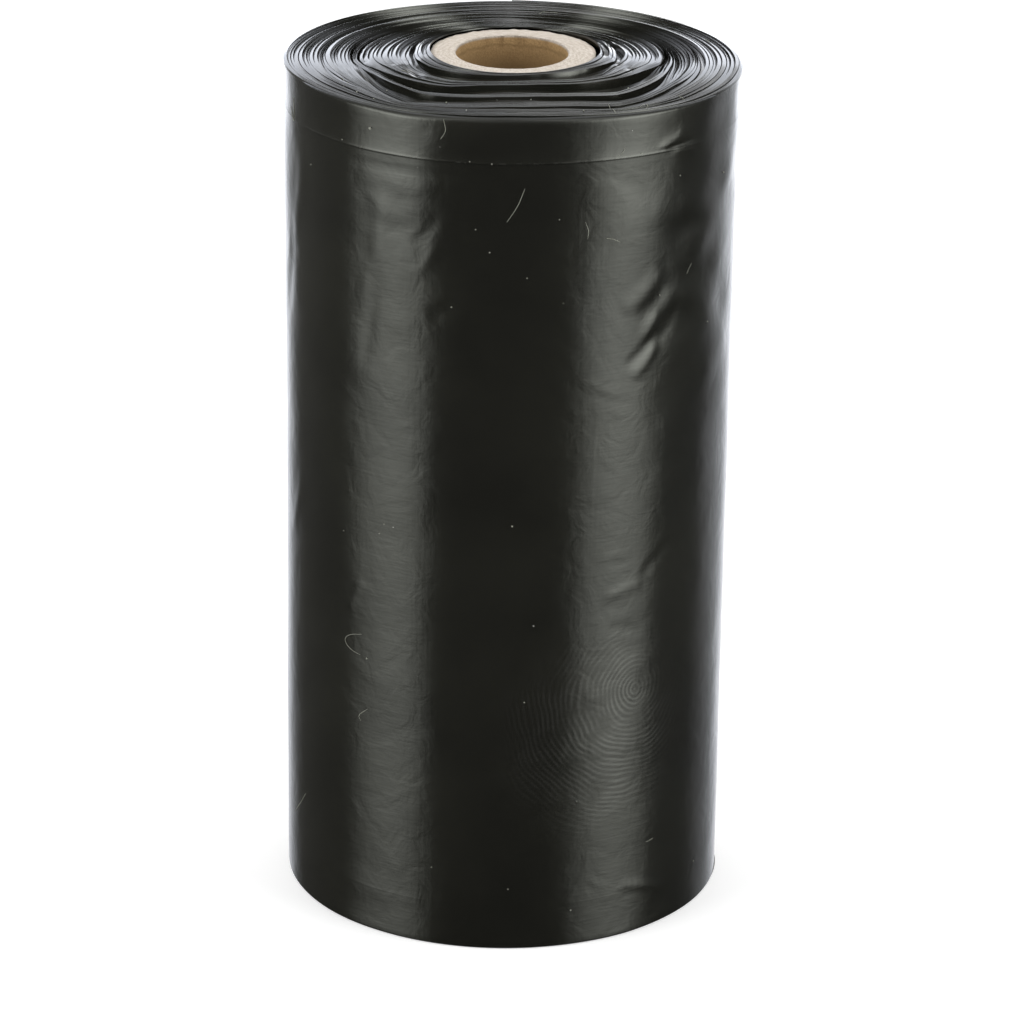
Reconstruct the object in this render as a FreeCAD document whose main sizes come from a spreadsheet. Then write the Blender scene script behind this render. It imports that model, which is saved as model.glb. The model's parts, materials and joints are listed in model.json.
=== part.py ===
"""A roll of dog waste bags: one long web of folded film bags, wound tight on a cardboard tube.

Lengths are in millimetres. The roll stands on one end with its axis on +Z, and the origin is the
middle of that end. The tube and the turns on it have slid up a little past the outer turns. The web
winds outwards as a spiral, so everything cut into its turns is made in two half turns: the near half
(x > 0) runs about the roll's own axis, and the far half (x < 0) runs about an axis set back by half a
step, which lets each half turn meet the next one a full step out.
"""
import FreeCAD, Part
import math
import os
import Sketcher

# The driving dimensions, by the names they have in the document's sheet.
DIMENSIONS = {
    "core_bore_diameter": 8.6,    # hole through the cardboard tube
    "core_wall": 1.8,             # thickness of the cardboard
    "core_lip": 0.2,              # bevel where the knife crushed the bore's edge
    "roll_diameter": 32.0,        # over the outermost turn of film
    "roll_length": 62.5,          # width of the folded web, and the length that the tube is cut to
    "telescope_rise": 0.4,        # how far the tube has slid up past the outer turns
    "level_diameter": 25.0,       # outside it the turns lie level, inside it they rise to the tube
    "web_thickness": 0.12,        # one turn of the folded bags, and the step at the loose end
    "rim_radius": 0.6,            # round of the outer turns at each end, made as two bevels
    "bundle_pitch": 1.0,          # distance between two open gaps in the ends, several turns of film
    "gap_width": 0.34,            # a gap's width where it opens on the end
    "gap_depth": 0.6,             # how deep a gap reads between two turns
    "fold_line_inset": 3.4,       # from each end to the fold that shows through the outer turn
    "fold_line_width": 0.3,       # width of the crease along that fold
    "fold_line_depth": 0.06,      # depth of the crease
}
CUT_CLEARANCE = 0.5               # how far a cutting profile stands out of the material it cuts

doc = FreeCAD.newDocument("bag_roll")
sheet = doc.addObject("Spreadsheet::Sheet", "dims")
for row, (name, size) in enumerate(DIMENSIONS.items(), start=1):
    sheet.set(f"A{row}", name)
    sheet.set(f"B{row}", str(size))
    sheet.setAlias(f"B{row}", name)
doc.recompute()

# Radii and heights that several profiles share, as expressions on the sheet.
CORE_OUTSIDE = "(dims.core_bore_diameter / 2 + dims.core_wall)"
ROLL_OUTSIDE = "(dims.roll_diameter / 2)"
HALF_WEB = "(dims.web_thickness / 2)"
HALF_PITCH = "(dims.bundle_pitch / 2)"


def new_body(name):
    """An empty PartDesign body whose label names its part file."""
    body = doc.addObject("PartDesign::Body", name)
    body.Label = name
    return body


def new_sketch(body, name, plane_role):
    """A sketch on one of the body's own origin planes."""
    plane = next(p for p in body.Origin.OriginFeatures if p.Role == plane_role)
    sketch = body.newObject("Sketcher::SketchObject", name)
    sketch.AttachmentSupport = [(plane, "")]
    sketch.MapMode = "FlatFace"
    return sketch


def bind(sketch, constraint, expression):
    """Adds a dimension and ties it to the sheet."""
    index = sketch.addConstraint(constraint)
    sketch.setExpression(f"Constraints[{index}]", expression)


def hold_point(sketch, geometry, end, across, up):
    """Holds one end of a line at the place given by two expressions."""
    for kind, expression in (("DistanceX", across), ("DistanceY", up)):
        distance = float(sketch.evalExpression(expression))
        bind(sketch, Sketcher.Constraint(kind, -1, 1, geometry, end, distance), expression)


def point(sketch, across, up):
    """The place that two expressions give, as a vector in the sketch."""
    return FreeCAD.Vector(float(sketch.evalExpression(across)), float(sketch.evalExpression(up)), 0)


def draw_outline(sketch, corners):
    """Draws a closed outline of straight lines through corners, which are pairs of expressions."""
    places = [point(sketch, *corner) for corner in corners]
    first = sketch.GeometryCount
    for start, end in zip(places, places[1:] + places[:1]):
        sketch.addGeometry(Part.LineSegment(start, end), False)
    for number, corner in enumerate(corners):
        line = first + number
        before = first + (number - 1) % len(corners)
        sketch.addConstraint(Sketcher.Constraint("Coincident", before, 2, line, 1))
        hold_point(sketch, line, 1, *corner)


def draw_axis(sketch, set_back):
    """Draws the line parallel to +Z that the far half turns about, and returns its sub-name."""
    along = float(sketch.evalExpression("dims.roll_length"))
    across = -float(sketch.evalExpression(set_back))
    line = sketch.addGeometry(
        Part.LineSegment(FreeCAD.Vector(across, 0, 0), FreeCAD.Vector(across, along, 0)), True)
    hold_point(sketch, line, 1, f"-{set_back}", "0")
    hold_point(sketch, line, 2, f"-{set_back}", "dims.roll_length")
    return "Axis0"


def cut_half_turns(body, name, draw_profile, set_back):
    """Cuts the profile round both halves of the roll, the far half about the set-back axis.

    A point of the profile that lies on the near half at +Y lies on the far half there too, and a
    half turn later, at -Y, it has moved out by one step, which is twice the set-back.
    """
    for half, far in (("near", False), ("far", True)):
        sketch = new_sketch(body, f"{name}_{half}_profile", "YZ_Plane")
        axis = draw_axis(sketch, set_back) if far else "V_Axis"
        draw_profile(sketch)
        doc.recompute()
        volume_before = body.Shape.Volume
        groove = body.newObject("PartDesign::Groove", f"{name}_{half}")
        groove.Profile = sketch
        groove.ReferenceAxis = (sketch, [axis])
        groove.Angle = 180
        groove.Reversed = not far
        doc.recompute()
        if not body.Shape.Volume < volume_before:
            raise RuntimeError(f"{groove.Name} cut nothing")


# --- cardboard_core: the wound kraft tube, cut square, its bore's edges crushed by the knife ----


def build_core():
    body = new_body("cardboard_core")
    bore = "dims.core_bore_diameter / 2"
    low = "dims.telescope_rise"
    high = "dims.telescope_rise + dims.roll_length"
    profile = new_sketch(body, "core_section", "YZ_Plane")
    draw_outline(profile, [
        (f"{bore} + dims.core_lip", low),
        (CORE_OUTSIDE, low),
        (CORE_OUTSIDE, high),
        (f"{bore} + dims.core_lip", high),
        (bore, f"{high} - dims.core_lip"),
        (bore, f"{low} + dims.core_lip"),
    ])
    tube = body.newObject("PartDesign::Revolution", "tube")
    tube.Profile = profile
    tube.ReferenceAxis = (profile, ["V_Axis"])
    tube.Angle = 360
    doc.recompute()
    return body


# --- wound_bags: the web of bags, one solid, wound on the core and ending in a loose edge --------


def draw_spiral_outline(sketch):
    """The roll seen along its axis: two half turns, and the loose edge's step at +Y."""
    outside = float(sketch.evalExpression(ROLL_OUTSIDE))
    half_web = float(sketch.evalExpression(HALF_WEB))
    upright = FreeCAD.Vector(0, 0, 1)
    near_circle = Part.Circle(FreeCAD.Vector(0, 0, 0), upright, outside)
    far_circle = Part.Circle(FreeCAD.Vector(0, -half_web, 0), upright, outside - half_web)
    quarter = math.pi / 2
    near = sketch.addGeometry(Part.ArcOfCircle(near_circle, -quarter, quarter), False)
    far = sketch.addGeometry(Part.ArcOfCircle(far_circle, quarter, 3 * quarter), False)
    edge = sketch.addGeometry(
        Part.LineSegment(FreeCAD.Vector(0, outside, 0),
                         FreeCAD.Vector(0, outside - 2 * half_web, 0)), False)
    for first, first_end, second, second_end in (
            (near, 2, edge, 1), (edge, 2, far, 1), (far, 2, near, 1)):
        sketch.addConstraint(Sketcher.Constraint("Coincident", first, first_end, second, second_end))
    sketch.addConstraint(Sketcher.Constraint("Coincident", near, 3, -1, 1))
    sketch.addConstraint(Sketcher.Constraint("PointOnObject", near, 1, -2))
    sketch.addConstraint(Sketcher.Constraint("PointOnObject", far, 3, -2))
    sketch.addConstraint(Sketcher.Constraint("Vertical", edge))
    bind(sketch, Sketcher.Constraint("Radius", near, outside), ROLL_OUTSIDE)
    bind(sketch, Sketcher.Constraint("Radius", far, outside - half_web),
         f"{ROLL_OUTSIDE} - {HALF_WEB}")


def draw_rim_corner(sketch, end_height, inwards):
    """The waste outside one rim's two bevels; inwards is + or -, the way from the end into the roll."""
    outwards = "-" if inwards == "+" else "+"
    wall_end = f"{end_height} {inwards} dims.rim_radius"
    face_end = f"{ROLL_OUTSIDE} - dims.rim_radius"
    beside = f"{ROLL_OUTSIDE} + {CUT_CLEARANCE}"
    beyond = f"{end_height} {outwards} {CUT_CLEARANCE}"
    eased = "dims.rim_radius * (1 - cos(45 deg))"
    draw_outline(sketch, [
        (ROLL_OUTSIDE, wall_end),
        (beside, wall_end),
        (beside, beyond),
        (face_end, beyond),
        (face_end, end_height),
        (f"{ROLL_OUTSIDE} - {eased}", f"{end_height} {inwards} {eased}"),
    ])


def draw_rims_and_fold_lines(sketch):
    """Both rims' bevels, and the shallow creases where an inner fold shows through the last turn."""
    draw_rim_corner(sketch, "dims.roll_length", "-")
    draw_rim_corner(sketch, "0", "+")
    for height in ("dims.roll_length - dims.fold_line_inset", "dims.fold_line_inset"):
        draw_outline(sketch, [
            (f"{ROLL_OUTSIDE} + dims.fold_line_depth", f"{height} + dims.fold_line_width"),
            (f"{ROLL_OUTSIDE} - dims.fold_line_depth", height),
            (f"{ROLL_OUTSIDE} + dims.fold_line_depth", f"{height} - dims.fold_line_width"),
        ])


def turn_rise(radius):
    """How far the turns at a radius have slid up: all the way at the tube, and none where they lie level."""
    return (f"dims.telescope_rise * max(0; (dims.level_diameter / 2 - ({radius}))"
            f" / (dims.level_diameter / 2 - {CORE_OUTSIDE}))")


def cut_ends(body):
    """Cuts the upper end to a cone that rises to the tube, and the lower end to a hollow one."""
    sketch = new_sketch(body, "ends_profile", "YZ_Plane")
    inside = f"{CORE_OUTSIDE} - {CUT_CLEARANCE}"
    beside = f"{ROLL_OUTSIDE} + {CUT_CLEARANCE}"
    level = "dims.level_diameter / 2"
    top = "dims.roll_length + dims.telescope_rise"
    draw_outline(sketch, [
        (inside, top),
        (CORE_OUTSIDE, top),
        (level, "dims.roll_length"),
        (beside, "dims.roll_length"),
        (beside, f"{top} + {CUT_CLEARANCE}"),
        (inside, f"{top} + {CUT_CLEARANCE}"),
    ])
    draw_outline(sketch, [
        (inside, "dims.telescope_rise"),
        (CORE_OUTSIDE, "dims.telescope_rise"),
        (level, "0"),
        (level, f"-{CUT_CLEARANCE}"),
        (inside, f"-{CUT_CLEARANCE}"),
    ])
    doc.recompute()
    volume_before = body.Shape.Volume
    groove = body.newObject("PartDesign::Groove", "ends")
    groove.Profile = sketch
    groove.ReferenceAxis = (sketch, ["V_Axis"])
    groove.Angle = 360
    doc.recompute()
    if not body.Shape.Volume < volume_before:
        raise RuntimeError(f"{groove.Name} cut nothing")


def gap_count():
    """How many gaps fit between the turn that grips the core and the turns that form the rim."""
    first = sheet.evalExpression(f"{CORE_OUTSIDE} + dims.bundle_pitch")
    last = sheet.evalExpression(
        f"{ROLL_OUTSIDE} - dims.rim_radius - dims.bundle_pitch - dims.gap_width")
    return 1 + math.floor((float(last) - float(first)) / float(sheet.bundle_pitch))


def draw_gaps(sketch):
    """A row of narrow V cuts into each end, a pitch apart, which the half turns join to a spiral."""
    for number in range(gap_count()):
        middle = f"{CORE_OUTSIDE} + {number + 1} * dims.bundle_pitch"
        rise = turn_rise(middle)
        for end_height, inwards in ((f"dims.roll_length + {rise}", "-"), (rise, "+")):
            outwards = "-" if inwards == "+" else "+"
            draw_outline(sketch, [
                (f"{middle} - dims.gap_width", f"{end_height} {outwards} dims.gap_depth"),
                (f"{middle} + dims.gap_width", f"{end_height} {outwards} dims.gap_depth"),
                (middle, f"{end_height} {inwards} dims.gap_depth"),
            ])


def draw_core_hole(sketch):
    """The hole that the tube fills, face to face with the first turn."""
    radius = float(sketch.evalExpression(CORE_OUTSIDE))
    circle = Part.Circle(FreeCAD.Vector(0, 0, 0), FreeCAD.Vector(0, 0, 1), radius)
    hole = sketch.addGeometry(circle, False)
    sketch.addConstraint(Sketcher.Constraint("Coincident", hole, 3, -1, 1))
    bind(sketch, Sketcher.Constraint("Radius", hole, radius), CORE_OUTSIDE)


def build_winding():
    body = new_body("wound_bags")
    outline = new_sketch(body, "spiral_outline", "XY_Plane")
    draw_spiral_outline(outline)
    draw_core_hole(outline)
    web = body.newObject("PartDesign::Pad", "web")
    web.Profile = outline
    web.setExpression("Length", "dims.roll_length + dims.telescope_rise")
    doc.recompute()
    cut_ends(body)
    cut_half_turns(body, "rim", draw_rims_and_fold_lines, HALF_WEB)
    cut_half_turns(body, "gaps", draw_gaps, HALF_PITCH)
    return body


def check_and_export(bodies):
    """Stops on any failed object or shape, then writes one STEP file for each body."""
    doc.recompute()
    failed = [o.Name for o in doc.Objects if {"Invalid", "Error"} & set(o.State)]
    if failed:
        raise RuntimeError(f"these objects failed: {failed}")
    os.makedirs("parts", exist_ok=True)
    for body in bodies:
        shape = body.Shape
        if shape.isNull() or not shape.isValid() or len(shape.Solids) != 1:
            raise RuntimeError(f"{body.Label} is not one valid solid")
        shape.exportStep(os.path.join("parts", f"{body.Label}.step"))
        print(f"{body.Label}: {shape.Volume:.1f} mm3, {len(shape.Faces)} faces")


check_and_export([build_core(), build_winding()])
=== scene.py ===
"""A roll of dog waste bags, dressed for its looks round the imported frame.

Meshes are worked out in millimetres and placed in metres, with the roll's axis on +Z. Azimuths are in
degrees and run from +X towards +Y, so the front is at 270 and the web's loose edge is at 90.
"""
import json
import math

import bpy
import numpy as np
from mathutils import Matrix, Vector
from mathutils.bvhtree import BVHTree


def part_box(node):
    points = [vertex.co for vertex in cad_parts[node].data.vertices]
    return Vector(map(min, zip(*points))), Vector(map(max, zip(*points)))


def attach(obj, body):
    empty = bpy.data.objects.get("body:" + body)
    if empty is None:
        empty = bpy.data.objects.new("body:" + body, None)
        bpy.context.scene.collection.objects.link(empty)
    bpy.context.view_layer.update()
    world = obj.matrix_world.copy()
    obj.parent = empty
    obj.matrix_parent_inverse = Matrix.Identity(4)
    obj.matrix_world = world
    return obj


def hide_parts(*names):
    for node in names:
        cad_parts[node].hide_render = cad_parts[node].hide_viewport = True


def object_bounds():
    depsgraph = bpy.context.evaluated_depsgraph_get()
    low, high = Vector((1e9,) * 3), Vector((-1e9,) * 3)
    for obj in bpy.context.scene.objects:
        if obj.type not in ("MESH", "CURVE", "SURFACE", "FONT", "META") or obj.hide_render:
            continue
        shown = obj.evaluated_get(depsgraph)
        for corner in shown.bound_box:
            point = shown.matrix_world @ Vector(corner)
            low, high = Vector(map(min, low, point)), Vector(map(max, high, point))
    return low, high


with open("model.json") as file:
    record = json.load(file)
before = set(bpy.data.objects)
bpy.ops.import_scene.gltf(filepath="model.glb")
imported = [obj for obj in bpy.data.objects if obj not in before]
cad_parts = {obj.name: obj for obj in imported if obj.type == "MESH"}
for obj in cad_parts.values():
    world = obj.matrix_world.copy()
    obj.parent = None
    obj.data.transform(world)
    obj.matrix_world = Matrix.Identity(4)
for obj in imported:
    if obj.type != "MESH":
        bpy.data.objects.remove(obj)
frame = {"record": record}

cad_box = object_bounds()


# --- core tube ------------------------------------------------------------------------------------
# The tube is spiral-wound kraft board, cut square by a knife that crushed and frayed the bore's edge.
# It is held by the grip of the film wound on it, and has slid up a little with the inner turns.

MM = 0.001

core_low, core_high = (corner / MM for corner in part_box("cardboard_core"))
CORE_RADIUS = core_high.x
BORE_RADIUS = frame["record"]["mounts"][0]["dims"]["r_mm"]
CORE_SHIFT = 0.15               # how far to the right the tube sits
CORE_SQUASH, BORE_SQUASH = 0.24, 0.36   # how much narrower each is from side to side, and deeper
BORE_WORN = 0.07                # how much wider the crushed bore is than its gauge
CORE_SINK = 0.08                # how far the cut face lies below the tube's full length
CORE_COLUMNS = 288
LIP = 0.13                      # width of the bore's crushed edge
FUZZ = 0.03                     # how far the cut face's fibres stand up
BOARD_PLY = 0.36                # thickness of one ply, as it shows on the cut face
BORE_SEAM_PITCH = 17.0          # rise of the board's spiral seam in one turn
BORE_SEAM_STEP = 0.036          # how far the innermost ply's edge stands out
MOUTH_PAINTED_LIGHT_DEPTH = 3.0               # how far into the bore the paper is painted paler, as painted light that fades with depth

BOARD_FACE = (0.74, 0.68, 0.615)
BOARD_FIBRE_DARK = (0.54, 0.47, 0.39)
# The next two colours are painted light and painted shade: the bore's paler mouth and its darker depths.
BOARD_MOUTH_PAINTED_LIGHT = (0.63, 0.42, 0.205)
BOARD_BORE_PAINTED_SHADE = (0.25, 0.165, 0.08)


def spline_taps(place):
    """The four knots about each place, and the weights that a cubic B-spline gives them."""
    knot = np.floor(place).astype(int)
    t = place - knot
    weights = ((1 - t) ** 3, 3 * t ** 3 - 6 * t ** 2 + 4, 1 + 3 * t + 3 * t ** 2 - 3 * t ** 3, t ** 3)
    return [(knot + step, weight / 6) for step, weight in enumerate(weights)]


def noise_sheet(rng, u, v, cells_u, cells_v):
    """Smooth noise of about unit height over u and v from 0 to 1, which joins up round u."""
    knots = 2 * rng.normal(size=(cells_u, cells_v + 4))
    total = 0
    for column, weight_u in spline_taps(u * cells_u):
        for row, weight_v in spline_taps(np.clip(v, 0, 1) * cells_v):
            total = total + weight_u * weight_v * knots[column % cells_u, row]
    return total


def grid_faces(rows, columns, closed=True):
    """The four-sided faces of a grid of points whose rows follow one another."""
    row, column = np.meshgrid(np.arange(rows - 1), np.arange(columns - (not closed)), indexing="ij")
    here = row * columns + column
    beside = row * columns + (column + 1) % columns
    return np.stack([here, beside, beside + columns, here + columns], -1).reshape(-1, 4)


def add_piece(name, points, faces, material):
    """A smooth mesh piece from points in millimetres, riding with the roll."""
    mesh = bpy.data.meshes.new(name)
    mesh.from_pydata((points * MM).tolist(), [], faces if isinstance(faces, list) else faces.tolist())
    mesh.shade_smooth()
    mesh.materials.append(material)
    piece = bpy.data.objects.new(name, mesh)
    bpy.context.scene.collection.objects.link(piece)
    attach(piece, "root")
    return piece


def polar(radius, azimuth, height):
    """Points from radii, azimuths in radians and heights."""
    radius, azimuth, height = np.broadcast_arrays(radius, azimuth, height)
    return np.stack([radius * np.cos(azimuth), radius * np.sin(azimuth), height], -1).reshape(-1, 3)


def squashed(radius, azimuth):
    """A radius of the tube once it is pressed oval."""
    squash = np.interp(radius, (BORE_RADIUS, CORE_RADIUS), (BORE_SQUASH, CORE_SQUASH))
    worn = np.interp(radius, (BORE_RADIUS, CORE_RADIUS), (BORE_WORN, 0))
    shift = np.interp(radius, (BORE_RADIUS, CORE_RADIUS), (0.4 * CORE_SHIFT, CORE_SHIFT))
    return radius + worn - squash * np.cos(2 * azimuth) + shift * np.cos(azimuth)


def feed(tree, socket, value):
    """Gives an input socket a value, or links it where the value is a socket itself."""
    if isinstance(value, bpy.types.NodeSocket):
        tree.links.new(value, socket)
    else:
        socket.default_value = value


def add_node(tree, kind, inputs=None, **settings):
    """A shader node with its settings, and its inputs given as values or as sockets to link."""
    node = tree.nodes.new(kind)
    for name, value in settings.items():
        setattr(node, name, value)
    for name, value in (inputs or {}).items():
        feed(tree, node.inputs[name], value)
    return node


def calculate(tree, operation, *values, clamp=False):
    """The result socket of a Math node."""
    return add_node(tree, "ShaderNodeMath", dict(enumerate(values)), operation=operation,
                    use_clamp=clamp).outputs[0]


def combine_vectors(tree, operation, first, second):
    """The result socket of a Vector Math node."""
    return add_node(tree, "ShaderNodeVectorMath", {0: first, 1: second}, operation=operation).outputs[0]


def vector_length(tree, vector):
    """The length of a vector."""
    return add_node(tree, "ShaderNodeVectorMath", {0: vector}, operation="LENGTH").outputs["Value"]


def blend_colours(tree, factor, first, second):
    """The colour that lies by a factor between two colours."""
    node = tree.nodes.new("ShaderNodeMix")
    node.data_type = "RGBA"
    for name, value in (("Factor_Float", factor), ("A_Color", first), ("B_Color", second)):
        socket = next(s for s in node.inputs if s.identifier == name)
        feed(tree, socket, (*value, 1) if isinstance(value, tuple) else value)
    return next(s for s in node.outputs if s.identifier == "Result_Color")


def smooth_between(tree, value, low, high):
    """Rises smoothly from 0 to 1 as a value goes from low to high."""
    return add_node(tree, "ShaderNodeMapRange", {"Value": value, "From Min": low, "From Max": high},
                    interpolation_type="SMOOTHSTEP").outputs["Result"]


def node_group(name, inputs, outputs):
    """An empty node group with named sockets, and its input and output nodes."""
    tree = bpy.data.node_groups.new(name, "ShaderNodeTree")
    for label, kind, value in inputs:
        socket = tree.interface.new_socket(label, in_out="INPUT", socket_type=kind)
        socket.default_value = value
    for label, kind in outputs:
        tree.interface.new_socket(label, in_out="OUTPUT", socket_type=kind)
    return tree, tree.nodes.new("NodeGroupInput"), tree.nodes.new("NodeGroupOutput")


def use_group(tree, group, inputs=None):
    """Places a node group in a tree."""
    return add_node(tree, "ShaderNodeGroup", inputs, node_tree=group)


def new_material(name):
    """A material with its node tree and its shader, nothing linked to it yet."""
    material = bpy.data.materials.new(name)
    material.use_nodes = True
    tree = material.node_tree
    return material, tree, tree.nodes["Principled BSDF"]


def make_roll_places():
    """Where a point lies on the roll, in millimetres: its height, its radius, and both of them with the
    distance round the roll from the front, as if the web were unrolled."""
    tree, _, output = node_group("roll places", [], [
        ("Up", "NodeSocketFloat"), ("Out", "NodeSocketFloat"), ("Unrolled", "NodeSocketVector")])
    place = combine_vectors(tree, "MULTIPLY", tree.nodes.new("ShaderNodeTexCoord").outputs["Object"],
                            (1 / MM,) * 3)
    axes = add_node(tree, "ShaderNodeSeparateXYZ", {0: place})
    flat = add_node(tree, "ShaderNodeCombineXYZ", {"X": axes.outputs["X"], "Y": axes.outputs["Y"]})
    out = vector_length(tree, flat.outputs[0])
    azimuth = calculate(tree, "ARCTAN2", axes.outputs["X"],
                        calculate(tree, "MULTIPLY", axes.outputs["Y"], -1.0))
    unrolled = add_node(tree, "ShaderNodeCombineXYZ", {
        "X": calculate(tree, "MULTIPLY", azimuth, out), "Y": axes.outputs["Z"], "Z": out})
    for name, socket in (("Up", axes.outputs["Z"]), ("Out", out), ("Unrolled", unrolled.outputs[0])):
        tree.links.new(socket, output.inputs[name])
    return tree


roll_places = make_roll_places()


def make_board_material():
    material, tree, shader = new_material("kraft board")
    place = use_group(tree, roll_places)
    fibres = add_node(tree, "ShaderNodeTexNoise", {
        "Vector": place.outputs["Unrolled"], "Scale": 7.0, "Detail": 4.0, "Roughness": 0.62})
    clumps = add_node(tree, "ShaderNodeTexNoise", {
        "Vector": place.outputs["Unrolled"], "Scale": 1.3, "Detail": 2.0})
    wavy_radius = calculate(tree, "ADD", place.outputs["Out"],
                            calculate(tree, "MULTIPLY", clumps.outputs["Fac"], 0.25))
    plies = calculate(tree, "SINE", calculate(tree, "MULTIPLY", wavy_radius, 2 * math.pi / BOARD_PLY))
    face_up = core_high.z - CORE_SINK
    on_upper = smooth_between(tree, place.outputs["Up"], face_up - 0.3, face_up - 0.1)
    on_lower = smooth_between(tree, place.outputs["Up"], core_low.z + 0.3, core_low.z + 0.1)
    on_face = calculate(tree, "MAXIMUM", on_upper, on_lower)
    shade = calculate(tree, "ADD", calculate(tree, "MULTIPLY", fibres.outputs["Fac"], 1.1),
                      calculate(tree, "MULTIPLY", plies, 0.05))
    face = blend_colours(tree, smooth_between(tree, shade, 0.36, 0.74), BOARD_FIBRE_DARK, BOARD_FACE)
    # Painted light and shade: the bore is painted pale near both mouths and darker deeper in, where less
    # light reaches, with a darker ragged band about a millimetre down.
    depth = calculate(tree, "MINIMUM", calculate(tree, "SUBTRACT", face_up, place.outputs["Up"]),
                      calculate(tree, "SUBTRACT", place.outputs["Up"], core_low.z))
    ragged = calculate(tree, "ADD", depth, calculate(tree, "MULTIPLY", clumps.outputs["Fac"], 0.5))
    ragged_dark_band = calculate(tree, "MULTIPLY", smooth_between(tree, ragged, 0.85, 1.0),
                        smooth_between(tree, ragged, 1.25, 1.02))
    mouth_painted_light = calculate(tree, "SUBTRACT", smooth_between(tree, depth, MOUTH_PAINTED_LIGHT_DEPTH, -0.2 * MOUTH_PAINTED_LIGHT_DEPTH),
                        calculate(tree, "MULTIPLY", ragged_dark_band, 0.3), clamp=True)
    bore = blend_colours(tree, mouth_painted_light, BOARD_BORE_PAINTED_SHADE, BOARD_MOUTH_PAINTED_LIGHT)
    dark_fibres = calculate(tree, "MULTIPLY", smooth_between(tree, fibres.outputs["Fac"], 0.66, 0.34), 0.45)
    bore = blend_colours(tree, dark_fibres, bore, BOARD_BORE_PAINTED_SHADE)
    tree.links.new(blend_colours(tree, on_face, bore, face), shader.inputs["Base Color"])
    shader.inputs["Roughness"].default_value = 0.93
    shader.inputs["Specular IOR Level"].default_value = 0.05
    relief = calculate(tree, "ADD", fibres.outputs["Fac"], calculate(tree, "MULTIPLY", plies, 0.12))
    bump = add_node(tree, "ShaderNodeBump", {"Height": relief, "Strength": 0.55, "Distance": 0.06 * MM})
    tree.links.new(bump.outputs["Normal"], shader.inputs["Normal"])
    return material


def build_core():
    rng = np.random.default_rng(3)
    azimuth = np.linspace(0, 2 * math.pi, CORE_COLUMNS, endpoint=False)
    round_share = azimuth / (2 * math.pi)
    low, high = core_low.z, core_high.z - CORE_SINK
    lip_angles = np.radians([22, 45, 68, 90])
    face_radii = np.linspace(CORE_RADIUS, BORE_RADIUS + LIP, 9)
    bore_heights = np.linspace(high - LIP, low + LIP, 61)[1:-1]
    # Rings of points up the wall, in over the upper face, down the bore and out over the lower face.
    rings = [(CORE_RADIUS, low + 0.4, "wall"), (CORE_RADIUS, high - 0.4, "wall")]
    rings += [(radius, high, "face") for radius in face_radii]
    rings += [(BORE_RADIUS + LIP - LIP * math.sin(a), high - LIP + LIP * math.cos(a), "lip")
              for a in lip_angles]
    rings += [(BORE_RADIUS, height, "bore") for height in bore_heights]
    rings += [(BORE_RADIUS + LIP - LIP * math.sin(a), low + LIP - LIP * math.cos(a), "lip")
              for a in lip_angles[::-1]]
    rings += [(radius, low, "face") for radius in face_radii[::-1]]
    rows = []
    for number, (radius, height, part) in enumerate(rings):
        level = number / len(rings)
        rough = noise_sheet(rng, round_share, level + 0 * round_share, 144, 4)
        if part == "face":
            height = height - FUZZ * (1 + 0.6 * rough)
        elif part == "lip":
            radius = radius - 0.008 * rough
            height = height - math.copysign(0.010, height - low - LIP) * (1 + rough)
        elif part == "bore":
            turn = (height - low) / BORE_SEAM_PITCH - round_share
            seam = (turn - np.floor(turn) - 0.5) * 2
            radius = radius + BORE_SEAM_STEP * (0.5 - 0.5 * seam) + 0.008 * rough
        rows.append(polar(squashed(radius, azimuth), azimuth, height))
    points = np.concatenate(rows)
    # The last ring joins the first one, so the tube closes on itself.
    faces = grid_faces(len(rows) + 1, CORE_COLUMNS) % len(points)
    core = add_piece("core_tube", points, faces, make_board_material())
    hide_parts("cardboard_core")


build_core()


# --- outer wrap -----------------------------------------------------------------------------------
# The last turn of the web: a bag of thin black film folded to the roll's length, pulled tight. It is
# held by its own cling, ends in a loose edge at the back, and is creased where folds lie under it.

ROLL_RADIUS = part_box("wound_bags")[1].y / MM
ROLL_HEIGHT = core_high.z - core_low.z
RISE = core_low.z               # how far the tube and the turns near it have slid up
WEB_THICKNESS = 0.16            # of one turn of folded film, with the air between
WRAP_SLACK = 0.12               # how far the slack last turn stands out from the tight roll
UPPER_RIM, LOWER_RIM = 0.45, 0.16   # how rounded the wrap's folded edge is at each end
LIP_DROP = 0.04                 # how far the wrap's upper fold lies below the turns inside it
LIP_FLAT = 0.38                 # how far the wrap's folded edge reaches in over the end
FOLD_INSET = 3.4                # from each end to the fold that shows through the wrap
WRAP_COLUMNS = 400
WRAP_ROWS = 190

SMUDGE_MIDDLE = (10.1, 19.3)    # of its ridges: how far round from the front, and how high
SMUDGE_PATCH = (-2.8, -3.0)     # from there to the middle of the patch that the ridges show in
SMUDGE_FADES = (9.2, 3.8)       # from the patch's middle: where it ends, and where it is in full
SMUDGE_PITCH = 0.40             # from ridge to ridge

FILM_COLOUR = (0.0142, 0.0142, 0.0108)
FILM_DEEP = (0.0100, 0.0100, 0.0078)
FILM_HAZE = (0.0200, 0.0200, 0.0170)
DUST_COLOUR = (0.55, 0.55, 0.52)

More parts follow.
